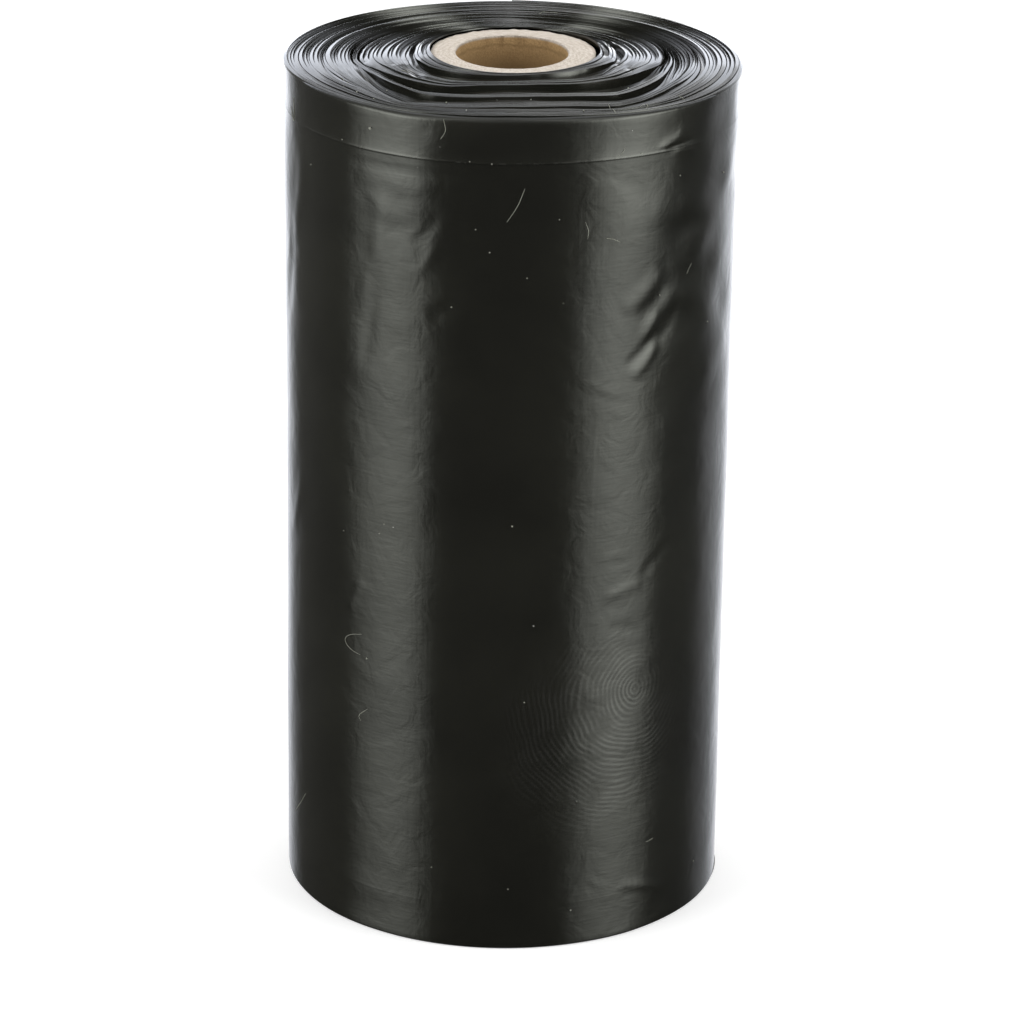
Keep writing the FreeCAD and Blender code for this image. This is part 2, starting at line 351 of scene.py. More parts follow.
# Creases in the wrap: where each begins and ends (azimuth, height), how high it stands or how deep it
# lies, its half width, and how far it is bent sideways at its middle.
CREASES = [
    ((311.5, 50.6), (299.5, 48.0), 0.075, 0.75, 0.25),
    ((312.5, 49.2), (304.0, 47.4), -0.060, 0.60, 0.20),
    ((311.0, 47.4), (306.0, 45.6), 0.070, 0.45, 0.0),
    ((310.0, 46.2), (300.5, 43.9), -0.070, 0.40, 0.2),
    ((310.5, 45.2), (302.6, 43.0), 0.060, 0.35, 0.2),
    ((318.0, 48.5), (309.0, 45.0), -0.060, 0.60, 0.3),
    ((317.5, 60.3), (309.0, 59.45), 0.065, 0.26, 0.1),
    ((321.0, 59.60), (311.5, 59.35), -0.050, 0.20, 0.1),
    ((321.5, 58.6), (313.5, 58.9), 0.045, 0.30, -0.1),
    ((308.0, 54.5), (292.0, 58.2), -0.030, 0.70, -0.9),
    ((287.0, 43.4), (299.5, 41.8), 0.022, 0.20, 0.0),
    ((291.0, 42.3), (302.0, 41.0), -0.018, 0.22, 0.0),
    ((294.0, 29.6), (303.0, 29.9), 0.020, 0.20, 0.1),
    ((296.0, 26.7), (307.5, 27.3), 0.050, 0.30, 0.2),
    ((307.0, 27.8), (318.0, 30.0), -0.040, 0.50, 0.2),
    ((297.0, 24.4), (308.0, 23.6), -0.030, 0.35, 0.2),
    ((226.0, 58.15), (258.0, 58.0), -0.036, 0.20, 0.0),
    ((229.0, 57.2), (254.0, 57.2), 0.034, 0.50, -0.3),
    ((231.0, 55.7), (250.0, 55.6), 0.030, 0.70, -0.6),
    ((233.0, 54.3), (248.0, 54.5), -0.018, 0.28, -0.6),
    ((253.0, 55.3), (245.5, 52.7), -0.040, 0.45, 0.1),
    ((252.5, 53.3), (246.0, 50.6), 0.028, 0.40, 0.2),
    ((250.0, 47.8), (257.5, 48.6), -0.050, 0.60, 0.0),
    ((236.5, 56.8), (231.0, 47.5), 0.060, 0.70, 0.5),
    ((234.5, 52.0), (231.0, 43.0), -0.050, 0.60, 0.3),
    ((206.0, 57.5), (198.0, 49.5), 0.060, 0.90, 0.4),
    ((199.0, 52.0), (190.0, 43.5), -0.060, 0.90, 0.4),
    ((205.0, 33.5), (196.0, 28.0), 0.040, 0.60, 0.3),
    ((231.0, 27.2), (226.0, 24.4), 0.030, 0.40, 0.0),
    ((302.0, 4.0), (318.0, 2.6), 0.045, 0.40, 0.2),
    ((226.0, 2.9), (250.0, 3.1), 0.015, 0.60, 0.1),
]

# Where the slack wrap swells out, or is drawn in: azimuth, height, how far, half widths round and up.
SWELLS = [
    (325.0, 66.0, 0.45, 7.0, 14.0),
    (286.0, 64.0, -0.16, 4.5, 12.0),
    (321.5, 55.0, 0.110, 1.7, 1.2),
    (320.0, 53.2, -0.100, 1.6, 0.7),
    (321.5, 50.9, 0.090, 1.7, 1.0),
    (303.0, 54.4, 0.100, 2.4, 2.0),
    (340.0, 55.8, 0.120, 1.6, 1.3),
    (324.5, 52.1, 0.120, 1.6, 0.9),
    (318.5, 48.2, 0.170, 1.8, 1.1),
    (335.0, 49.8, 0.090, 1.5, 1.0),
    (322.0, 44.8, 0.100, 1.7, 1.2),
    (331.0, 42.0, 0.120, 1.8, 1.4),
    (338.0, 46.5, -0.100, 1.6, 1.2),
    (262.0, 61.0, 0.090, 2.4, 1.4),
    (359.0, 31.0, 0.100, 8.0, 70.0),
    (187.0, 64.0, 0.240, 9.0, 3.6),
    (350.0, 63.2, 0.280, 7.0, 1.7),
]

# How far the wrap's upper end droops, by azimuth. The turns inside it droop less and less.
DROOPS = [(0, 0.0), (90, 0.0), (180, 0.0), (205, 0.08), (225, 0.25), (243, 0.36), (270, 0.20), (292, 0.36),
          (320, 0.36), (340, 0.15), (352, 0.0)]


def round_curve(places, azimuth):
    """A smooth closed curve through (azimuth in degrees, value) pairs, read at azimuths in radians."""
    degrees = np.array([place[0] for place in places], float)
    values = np.array([place[1] for place in places], float)
    degrees = np.concatenate([degrees - 360, degrees, degrees + 360])
    fine = np.linspace(-360, 720, 2161)
    curve = np.interp(fine, degrees, np.tile(values, 3))
    kernel = np.hanning(13)
    curve = np.convolve(curve, kernel / kernel.sum(), "same")
    return np.interp(np.degrees(azimuth) % 360, fine, curve)


def rim_share(azimuth):
    """How much of its full roundness and reach the upper rim has: all of them only at the front."""
    return 0.35 + 0.65 * np.clip(-np.sin(azimuth), 0, 1) ** 2


def crease_relief(azimuth, height):
    """How far the creases and swells lift the wrap, at azimuths in radians and heights."""
    relief = np.zeros(azimuth.shape)
    for start, end, lift, half_width, bend in CREASES:
        first = np.array([math.radians(start[0]) * ROLL_RADIUS, start[1]])
        last = np.array([math.radians(end[0]) * ROLL_RADIUS, end[1]])
        length = np.linalg.norm(last - first)
        direction = (last - first) / length
        across, up = azimuth * ROLL_RADIUS - first[0], height - first[1]
        along = (across * direction[0] + up * direction[1]) / length
        aside = up * direction[0] - across * direction[1] - 4 * bend * along * (1 - along)
        ends = np.clip(1 - (2 * along - 1) ** 4, 0, 1)
        relief += lift * ends * np.exp(-(aside / half_width) ** 2)
    for around, level, lift, half_round, half_up in SWELLS:
        turned = (azimuth - math.radians(around) + math.pi) % (2 * math.pi) - math.pi
        relief += lift * np.exp(-(turned * ROLL_RADIUS / half_round) ** 2
                                - ((height - level) / half_up) ** 2)
    return relief


def fold_relief(azimuth, height):
    """The bead, and the step out to the web's edge, where an inner fold lies under the wrap."""
    relief = 0
    plain = 0.25 + 0.75 * np.clip(-np.sin(azimuth), 0, 1) ** 2
    for fold, outwards, strength in ((ROLL_HEIGHT - FOLD_INSET, 1, 1.0), (FOLD_INSET, -1, 0.1)):
        beyond = (height - fold) * outwards
        bead = 0.022 * np.exp(-(beyond / 0.075) ** 2)
        step = 0.085 * (1 - np.exp(-np.clip(beyond, 0, None) / 0.8))
        relief = relief + strength * (plain * bead - step)
    return relief + WRAP_SLACK


def wrap_relief(rng, azimuth, height):
    """How far the wrap stands from a true cylinder, most of all near the upper end."""
    round_share = azimuth / (2 * math.pi) % 1
    up = height / ROLL_HEIGHT
    slack = 0.35 + 0.65 * np.clip((up - 0.55) / 0.3, 0, 1)
    # The film is rumpled most on the upper right.
    beside = (azimuth - math.radians(338) + math.pi) % (2 * math.pi) - math.pi
    rumpled = np.exp(-(beside / 0.42) ** 2) * np.clip((up - 0.5) / 0.2, 0, 1)
    relief = 0.030 * slack * noise_sheet(rng, round_share, up, 18, 7)
    relief += 0.014 * slack * noise_sheet(rng, round_share + 0.12 * up, up, 40, 16)
    relief += (0.006 + 0.004 * slack + 0.012 * rumpled) * noise_sheet(rng, round_share - 0.1 * up, up, 56, 36)
    relief += 0.060 * rumpled * noise_sheet(rng, round_share + 0.2 * up, up, 34, 20)
    return relief + crease_relief(azimuth, height) + fold_relief(azimuth, height)


def web_radius(azimuth):
    """The wrap's radius round its turn, one web's thickness less where it begins under the edge."""
    turned = (azimuth - math.pi / 2) / math.pi
    return ROLL_RADIUS - WEB_THICKNESS * np.clip(1 - turned, 0, 1)


def make_crinkle():
    """Fine relief of thin film: short creases, and the drawn lines that run round and up the web."""
    tree, given, output = node_group("film crinkle", [("Place", "NodeSocketVector", (0, 0, 0))],
                                     [("Height", "NodeSocketFloat")])
    place = given.outputs["Place"]
    relief = add_node(tree, "ShaderNodeTexNoise", {
        "Vector": place, "Scale": 0.55, "Detail": 3.0, "Roughness": 0.5, "Distortion": 0.6}).outputs["Fac"]
    for stretch, share in (((0.35, 4.2, 1.0), 0.16), ((3.4, 0.16, 1.0), 0.10)):
        drawn = add_node(tree, "ShaderNodeTexNoise", {
            "Vector": combine_vectors(tree, "MULTIPLY", place, stretch), "Scale": 1.0, "Detail": 2.0})
        relief = calculate(tree, "ADD", relief, calculate(tree, "MULTIPLY", drawn.outputs["Fac"], share))
    tree.links.new(relief, output.inputs["Height"])
    return tree


def make_dust():
    """Specks of dust, as a mask."""
    tree, given, output = node_group("dust", [
        ("Place", "NodeSocketVector", (0, 0, 0)), ("Spacing", "NodeSocketFloat", 2.0),
        ("Size", "NodeSocketFloat", 0.05), ("Share", "NodeSocketFloat", 0.5)],
        [("Mask", "NodeSocketFloat")])
    place, spacing, size, share = given.outputs[:4]
    cells = add_node(tree, "ShaderNodeTexVoronoi", {
        "Vector": place, "Scale": calculate(tree, "DIVIDE", 1.0, spacing)})
    tone = add_node(tree, "ShaderNodeSeparateColor", {0: cells.outputs["Color"]})
    near = calculate(tree, "LESS_THAN", calculate(tree, "MULTIPLY", cells.outputs["Distance"], spacing),
                     calculate(tree, "MULTIPLY", size, tone.outputs["Green"]))
    chosen = calculate(tree, "LESS_THAN", tone.outputs["Red"], share)
    tree.links.new(calculate(tree, "MULTIPLY", near, chosen), output.inputs["Mask"])
    return tree


def make_smudge():
    """A greasy touch mark, as a mask: ridges in rings about a middle, blotted out towards the mark's edge."""
    tree, given, output = node_group("ridge smudge", [("Place", "NodeSocketVector", (0, 0, 0))],
                                     [("Mask", "NodeSocketFloat")])
    place = given.outputs["Place"]
    beside = combine_vectors(tree, "SUBTRACT", place, (*SMUDGE_MIDDLE, 0.0))
    beside = combine_vectors(tree, "MULTIPLY", beside, (1.0, 1.0, 0.0))
    wander = add_node(tree, "ShaderNodeTexNoise", {"Vector": place, "Scale": 0.28, "Detail": 1.0})
    wandering = calculate(tree, "ADD", vector_length(tree, beside),
                          calculate(tree, "MULTIPLY", wander.outputs["Fac"], 1.3))
    ridges = calculate(tree, "SINE", calculate(tree, "MULTIPLY", wandering, 2 * math.pi / SMUDGE_PITCH))
    ridges = smooth_between(tree, ridges, -0.5, 0.9)
    blots = add_node(tree, "ShaderNodeTexNoise", {"Vector": place, "Scale": 0.5, "Detail": 3.0})
    from_patch = vector_length(tree, combine_vectors(tree, "SUBTRACT", beside, (*SMUDGE_PATCH, 0.0)))
    patch = calculate(tree, "MULTIPLY", smooth_between(tree, from_patch, *SMUDGE_FADES),
                      smooth_between(tree, blots.outputs["Fac"], 0.28, 0.62))
    tree.links.new(calculate(tree, "MULTIPLY", ridges, patch), output.inputs["Mask"])
    return tree


crinkle = make_crinkle()
dust = make_dust()
smudge = make_smudge()


def make_wrap_material():
    material, tree, shader = new_material("black film wrap")
    place = use_group(tree, roll_places)
    unrolled = place.outputs["Unrolled"]
    clouds = add_node(tree, "ShaderNodeTexNoise", {"Vector": unrolled, "Scale": 0.11, "Detail": 3.0})
    tone = blend_colours(tree, smooth_between(tree, clouds.outputs["Fac"], 0.3, 0.7), FILM_DEEP, FILM_COLOUR)
    mark = use_group(tree, smudge, {"Place": unrolled}).outputs["Mask"]
    tone = blend_colours(tree, mark, tone, FILM_HAZE)
    specks = use_group(tree, dust, {"Place": unrolled, "Spacing": 1.7, "Size": 0.055, "Share": 0.35})
    # A little dust has caught along the upper fold.
    from_fold = calculate(tree, "ABSOLUTE", calculate(tree, "SUBTRACT", place.outputs["Up"],
                                                      ROLL_HEIGHT - FOLD_INSET))
    caught = add_node(tree, "ShaderNodeTexNoise", {"Vector": unrolled, "Scale": 1.9, "Detail": 3.0})
    caught = calculate(tree, "MULTIPLY", smooth_between(tree, from_fold, 0.10, 0.03),
                       smooth_between(tree, caught.outputs["Fac"], 0.50, 0.70))
    tone = blend_colours(tree, calculate(tree, "MULTIPLY", caught, 0.02), tone, DUST_COLOUR)
    tone = blend_colours(tree, specks.outputs["Mask"], tone, DUST_COLOUR)
    tree.links.new(tone, shader.inputs["Base Color"])
    haze = add_node(tree, "ShaderNodeTexNoise", {
        "Vector": unrolled, "Scale": 1.4, "Detail": 5.0, "Roughness": 0.7})
    roughness = calculate(tree, "ADD", 0.175, calculate(tree, "MULTIPLY", haze.outputs["Fac"], 0.07))
    for mask, added in ((specks.outputs["Mask"], 0.5), (mark, 0.04)):
        roughness = calculate(tree, "ADD", roughness, calculate(tree, "MULTIPLY", mask, added))
    tree.links.new(roughness, shader.inputs["Roughness"])
    # The grease of the touch mark lies on the film as a thin coat, thickest on its ridges.
    tree.links.new(calculate(tree, "MULTIPLY", mark, 0.55), shader.inputs["Coat Weight"])
    shader.inputs["Coat Roughness"].default_value = 0.2
    shader.inputs["IOR"].default_value = 1.5
    relief = use_group(tree, crinkle, {"Place": unrolled})
    height = calculate(tree, "ADD", relief.outputs["Height"], calculate(tree, "MULTIPLY", mark, 0.006))
    bump = add_node(tree, "ShaderNodeBump", {"Height": height, "Strength": 0.6, "Distance": 0.055 * MM})
    tree.links.new(bump.outputs["Normal"], shader.inputs["Normal"])
    return material


def build_wrap():
    rng = np.random.default_rng(11)
    # Each rim rolls in over its end, runs on flat and turns down out of sight.
    rim = np.radians(np.linspace(96, 0, 9))
    insets, drops = [], []
    for radius, drop in ((LOWER_RIM, 0.0), (UPPER_RIM, LIP_DROP)):
        reach = radius + LIP_FLAT
        insets.append(np.concatenate([[reach + 0.03, reach, reach - 0.05], radius * (1 - np.cos(rim))]))
        drops.append(np.concatenate([[0.45, drop + 0.01, drop], radius * (1 - np.sin(rim)) + drop]))
    # Rows of points lie closer together where a fold shows through.
    wall = np.linspace(LOWER_RIM, ROLL_HEIGHT - UPPER_RIM - LIP_DROP, WRAP_ROWS)[1:-1]
    by_fold = np.concatenate([np.linspace(-0.45, -0.21, 5), np.linspace(-0.15, 0.15, 11),
                              np.linspace(0.21, 0.45, 5)])
    for fold in (FOLD_INSET, ROLL_HEIGHT - FOLD_INSET):
        wall = np.concatenate([wall[abs(wall - fold) > 0.5], fold + by_fold])
    wall.sort()
    inset = np.concatenate([insets[0], 0 * wall, insets[1][::-1]])[:, None]
    height = np.concatenate([drops[0], wall, ROLL_HEIGHT - drops[1][::-1]])[:, None]
    azimuth = np.linspace(math.pi / 2, 5 * math.pi / 2, WRAP_COLUMNS)[None, :]
    inset, height, azimuth = np.broadcast_arrays(inset, height, azimuth)
    relief = wrap_relief(rng, azimuth, height)
    by_lip = 0.025 * noise_sheet(rng, azimuth / (2 * math.pi) % 1, 0 * azimuth, 26, 2)
    # Away from the front the upper rim is sharper and reaches in less.
    on_rim = height > ROLL_HEIGHT - LIP_DROP - UPPER_RIM - 0.01
    height = np.where(on_rim, height + (1 - rim_share(azimuth)) * (ROLL_HEIGHT - LIP_DROP - height)
                      + np.clip(inset / UPPER_RIM, 0, 1) * by_lip, height)
    inset = np.where(on_rim, inset * rim_share(azimuth), inset)
    height = height - round_curve(DROOPS, azimuth) * np.clip((height - ROLL_HEIGHT) / FOLD_INSET + 1, 0, 1)
    points = polar(web_radius(azimuth) - inset + relief, azimuth, np.maximum(height, 0))
    wrap = add_piece("outer_wrap", points, grid_faces(len(height), WRAP_COLUMNS),
                     make_wrap_material())
    edge_columns = {0, WRAP_COLUMNS - 1}
    sharp = [len({v % WRAP_COLUMNS for v in edge.vertices}) == 1
             and edge.vertices[0] % WRAP_COLUMNS in edge_columns for edge in wrap.data.edges]
    wrap.data.attributes.new("sharp_edge", "BOOLEAN", "EDGE").data.foreach_set("value", sharp)
    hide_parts("wound_bags")


build_wrap()


# --- turn edges -----------------------------------------------------------------------------------
# Both ends show the folded edges of the web's turns, side by side, held by the winding alone. They stand
# unevenly, in bundles, and where the web went on slack they have sunk and left open gaps between bundles.

LEVEL_RADIUS = 12.5             # outside it the turns haven't slid up with the tube
CRISP_DROP = 0.035              # a turn's top has a crisp edge beside a drop deeper than this
EDGE_RADIUS = ROLL_RADIUS + WRAP_SLACK - UPPER_RIM - LIP_FLAT + 0.14

# The zones of turns from the tube out: how many turns, how high the innermost and the outermost stand
# from level, how much the turns sag at the roll's sides, and the zone's outer radii by azimuth.
ZONES = [
    (4, 0.06, 0.02, 0.00, [
        (0, 7.3), (20, 7.2), (45, 6.9), (90, 6.7), (140, 6.7), (180, 6.8), (200, 7.1), (219, 7.35),
        (234, 7.3), (252, 7.0), (265, 6.85), (288, 6.6), (316, 6.75), (331, 7.15), (345, 7.45)]),
    (2, -0.20, -0.20, 0.24, [
        (0, 7.9), (20, 7.7), (45, 7.2), (90, 6.95), (140, 6.95), (180, 7.05), (200, 7.35), (211, 7.85),
        (227, 8.35), (240, 8.55), (255, 8.25), (266, 7.95), (285, 7.65), (306, 8.25), (318, 8.35),
        (331, 7.85), (345, 7.9)]),
    (11, -0.08, 0.02, 0.00, [
        (0, 10.9), (20, 10.8), (45, 10.2), (80, 9.6), (120, 9.7), (160, 10.3), (190, 10.85), (200, 10.7),
        (208, 10.35), (223, 10.25), (237, 10.2), (245, 10.05), (257, 9.0), (266, 8.75), (283, 8.7),
        (301, 9.35), (311, 9.5), (321, 9.8), (335, 10.05), (342, 10.35), (349, 10.75)]),
    (4, -0.28, -0.26, 0.42, [
        (0, 11.1), (20, 11.0), (45, 10.4), (80, 9.85), (120, 9.95), (160, 10.5), (190, 11.05), (200, 10.9),
        (210, 10.8), (220, 10.95), (230, 11.3), (238, 11.6), (249, 11.1), (259, 10.75), (267, 10.45),
        (281, 10.25), (295, 10.8), (308, 11.75), (313, 11.55), (323, 11.3), (340, 11.15), (349, 11.0)]),
    (3, -0.10, -0.02, 0.00, [
        (0, 11.35), (45, 11.0), (80, 10.5), (120, 10.6), (160, 11.1), (190, 11.35), (200, 11.15),
        (212, 11.1), (222, 11.35), (230, 11.6), (239, 12.1), (244, 12.2), (251, 12.0), (260, 11.6),
        (267, 11.3), (280, 11.2), (293, 11.6), (306, 12.4), (318, 12.05), (325, 11.8), (346, 11.35)]),
    (4, -0.28, -0.28, 0.42, [
        (0, 11.8), (45, 11.5), (80, 11.0), (120, 11.1), (160, 11.5), (190, 11.5), (197, 11.5), (207, 11.8),
        (218, 12.3), (230, 13.3), (238, 13.9), (245, 13.2), (252, 12.8), (261, 12.4), (267, 12.1),
        (279, 12.0), (292, 12.4), (304, 13.35), (312, 13.35), (318, 13.1), (330, 12.75), (340, 12.2)]),
    (7, -0.10, -0.04, 0.00, [
        (0, 13.2), (45, 13.2), (90, 13.0), (140, 13.2), (180, 13.4), (205, 13.3), (220, 13.6), (230, 14.1),
        (238, 14.5), (255, 13.9), (268, 13.3), (279, 13.2), (290, 13.4), (301, 14.3), (309, 14.15),
        (317, 13.7), (328, 13.3)]),
    (2, -0.20, -0.20, 0.14, [
        (0, 13.5), (90, 13.3), (180, 13.7), (220, 13.9), (238, 14.75), (268, 13.7), (285, 13.7),
        (300, 14.7), (312, 14.5), (328, 13.9)]),
    (9, -0.05, 0.03, 0.00, [(0, EDGE_RADIUS)]),
]
TURNS = sum(zone[0] for zone in ZONES)

# Loose folds of film on the upper end: where each begins and ends (x, y), how high it stands or how deep
# it lies, and its half width.
LOOSE_FOLDS = [
    ((5.3, 4.4), (6.15, -0.8), 0.05, 0.31),
    ((6.35, 2.3), (6.35, -1.1), -0.08, 0.22),
    ((6.9, 3.6), (6.6, 0.8), 0.07, 0.44),
    ((6.95, 2.0), (6.8, -1.5), -0.08, 0.31),
    ((7.15, 1.8), (7.3, -1.5), 0.06, 0.31),
    ((7.3, 3.1), (7.8, 1.0), -0.08, 0.22),
    ((7.8, 1.0), (7.5, -3.4), -0.08, 0.21),
    ((8.05, 1.0), (8.15, -2.8), 0.03, 0.34),
    ((8.6, -0.2), (8.3, -4.4), -0.05, 0.21),
    ((-7.2, 1.2), (-6.8, -3.4), -0.08, 0.25),
    ((-6.3, 1.8), (-6.3, -1.6), 0.04, 0.37),
    ((-7.7, -3.8), (-6.3, -7.3), -0.09, 0.34),
    ((-8.3, -3.6), (-7.0, -7.0), 0.03, 0.25),
    ((-10.8, 0.6), (-10.3, -3.2), -0.07, 0.18),
    ((-10.5, 2.6), (-9.8, -4.8), 0.03, 0.22),
]


def slid_up(radius):
    """How far the turns at a radius have slid up with the tube."""
    return RISE * np.clip((LEVEL_RADIUS - radius) / (LEVEL_RADIUS - CORE_RADIUS), 0, 1)


def lay_turns(turn, azimuth, end):
    """Radii of places counted in turns from the tube, and how far the turns there lie from level."""
    inner = squashed(CORE_RADIUS, azimuth)
    radius, level = np.zeros(azimuth.shape), np.zeros(azimuth.shape)
    laid = 0
    for count, inner_level, outer_level, sag, places in ZONES:
        outer = round_curve(places, azimuth)
        if laid + count == TURNS:
            outer = outer + crease_relief(azimuth, np.full(azimuth.shape, end))
            outer = outer + (UPPER_RIM + LIP_FLAT) * (1 - rim_share(azimuth))
        within = (turn - laid) / count
        here = (within >= 0) & ((within < 1) | (laid + count == TURNS)) | (laid == 0) & (within < 0)
        # Turns sink and sag only where the zone leaves them room.
        room = np.clip((outer - inner) / (count * WEB_THICKNESS) - 0.8, 0, 1)
        sunk = inner_level + (outer_level - inner_level) * within
        sunk = np.where(sunk < -0.12, sunk * (0.5 + 0.5 * room), sunk) - sag * room * abs(np.cos(azimuth))
        radius = np.where(here, inner + within * (outer - inner), radius)
        level = np.where(here, sunk, level)
        inner, laid = outer, laid + count
    return radius, level


def loose_relief(x, y):
    """How far the loose folds lift the upper end at places in its plane."""
    relief = np.zeros(x.shape)
    for start, end, lift, half_width in LOOSE_FOLDS:
        start, end = np.array(start), np.array(end)
        length = np.linalg.norm(end - start)
        direction = (end - start) / length
        along = ((x - start[0]) * direction[0] + (y - start[1]) * direction[1]) / length
        aside = (x - start[0]) * direction[1] - (y - start[1]) * direction[0]
        bowed = aside - along * (1 - along) * math.copysign(1, start[0])
        relief += lift * np.clip(1 - (2 * along - 1) ** 4, 0, 1) * np.exp(-(bowed / half_width) ** 2)
    return relief


def make_edge_material():
    material, tree, shader = new_material("black film edges")
    place = use_group(tree, roll_places)
    unrolled = place.outputs["Unrolled"]
    specks = use_group(tree, dust, {"Place": unrolled, "Spacing": 1.1, "Size": 0.045, "Share": 0.25})
    tone = blend_colours(tree, specks.outputs["Mask"], FILM_COLOUR, DUST_COLOUR)
    tree.links.new(tone, shader.inputs["Base Color"])
    shader.inputs["Roughness"].default_value = 0.2
    shader.inputs["IOR"].default_value = 1.5
    layers = add_node(tree, "ShaderNodeTexNoise", {
        "Vector": combine_vectors(tree, "MULTIPLY", unrolled, (0.5, 1.0, 11.0)), "Scale": 1.0, "Detail": 2.0})
    bump = add_node(tree, "ShaderNodeBump", {
        "Height": layers.outputs["Fac"], "Strength": 0.5, "Distance": 0.009 * MM})
    tree.links.new(bump.outputs["Normal"], shader.inputs["Normal"])
    return material


edge_material = make_edge_material()


def build_turn_edges(name, columns, upper, seed):
    """One end's edges, turn by turn along the winding: two steep sides and a rounded top for each."""
    rng = np.random.default_rng(seed)
    # The bounds between turns run one turn further than the turns themselves.
    places = TURNS * columns + 1
    turn = np.arange(places + columns) / columns
    azimuth = math.pi / 2 + 2 * math.pi * turn
    end = ROLL_HEIGHT - 0.5 if upper else 0.5

    def wander(knots_a_turn, draw):
        """A smooth random value along the winding."""
        heights = draw(size=(TURNS + 1) * knots_a_turn + 4)
        return sum(weight * heights[knot] for knot, weight in spline_taps(turn * knots_a_turn))

    # The turns are pressed together at the front and the back. At the roll's sides they part and stand
    # more unevenly, and past the front their tops slope down outwards.
    sides = abs(np.cos(azimuth)) ** 1.5
    openness = 0.12 + 0.88 * sides
    past_front = np.clip((np.sin(azimuth) + 0.70) / 0.42, 0, 1) ** 2
    bunching = 0.75 * (wander(5, rng.random) - 0.5)
    bunching[(turn < 0.5) | (turn > TURNS - 0.5)] = 0
    parted = 0.003 + 0.07 * sides ** 0.65 + 0.50 * openness * np.clip(wander(5, rng.random) - 0.3, 0, 1)
    lift = 0.055 * openness * wander(6, rng.normal)
    lift += 0.020 * noise_sheet(rng, azimuth / (2 * math.pi) % 1, turn / TURNS, 11, 15)
    recess = 0.32 * (0.4 + 0.6 * sides) * np.clip(wander(4, rng.random) - 0.62, 0, 1)
    lean = (0.002 + 0.024 * sides ** 0.75) * wander(5, rng.normal) - 0.05 * sides ** 0.75 * past_front
    azimuth, turn, sides, lean = azimuth[:places], turn[:places], sides[:places], lean[:places]
    begins, ends = turn + bunching[:places], turn + 1 + bunching[columns:]
    kernel = np.hanning(2 * (columns // 40) + 1)
    level = lay_turns(np.floor(turn) + 0.5, azimuth, end)[1]
    level = np.convolve(np.pad(level, len(kernel) // 2, "edge"), kernel / kernel.sum(), "valid")
    top = level + (lift - recess)[:places]
    rounded = 0.001 + 0.006 * sides
    inner_edge, outer_edge = top - lean - rounded, top + lean - rounded
    # The valley beside a turn is cut below the lower of the two edges that meet there.
    inside = np.append(inner_edge[:columns], outer_edge[:-columns])
    outside = np.append(inner_edge[columns:], outer_edge[-columns:])
    valley_in = np.minimum(inner_edge, inside) - parted[:places]
    valley_out = np.minimum(outer_edge, outside) - parted[columns:]
    rows = []
    for across, height in ((0.0, valley_in), (0.12, inner_edge), (0.5, top), (0.88, outer_edge),
                           (1.0, valley_out)):
        radius = lay_turns(begins + across * (ends - begins), azimuth, end)[0]
        if upper:
            outermost = np.clip((radius - LEVEL_RADIUS) / (ROLL_RADIUS - LEVEL_RADIUS), 0, 1)
            height = ROLL_HEIGHT + height + slid_up(radius) - round_curve(DROOPS, azimuth) * outermost
            height = height + loose_relief(radius * np.cos(azimuth), radius * np.sin(azimuth))
        else:
            height = np.maximum(slid_up(radius) - height + 0.02, 0)
        rows.append(polar(radius, azimuth, height))
    points = np.concatenate(rows)
    here = np.arange(places - 1)
    strips = [(here + row * places, here + (row + 1) * places) for row in range(4)]
    faces = np.concatenate([np.stack([inner, outer, outer + 1, inner + 1], -1) for inner, outer in strips])
    edges = add_piece(name, points, faces if upper else faces[:, ::-1], edge_material)
    # A turn that stands clear of its neighbour has a crisp edge to its top.
    corners = np.empty(2 * len(edges.data.edges), int)
    edges.data.edges.foreach_get("vertices", corners)
    first, second = corners.reshape(-1, 2).T
    clear = np.concatenate([0 * top, inner_edge - valley_in, 0 * top, outer_edge - valley_out, 0 * top])
    sharp = (first // places == second // places) & (clear[first] > CRISP_DROP)
    edges.data.attributes.new("sharp_edge", "BOOLEAN", "EDGE").data.foreach_set("value", sharp)
    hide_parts("wound_bags")


build_turn_edges("upper_turn_edges", 480, True, 21)
build_turn_edges("lower_turn_edges", 240, False, 22)


# --- lint -----------------------------------------------------------------------------------------
# Loose fibres and crumbs of pale dust that the film's static has caught. Each fibre is a thread finer
# than a hair that lies on the film, and each crumb is a lump of a tenth of a millimetre or so.

FIBRE_RADIUS = 0.019
FIBRE_STEPS = 20
LINT_DARK, LINT_PALE = (0.26, 0.27, 0.20), (0.44, 0.44, 0.40)

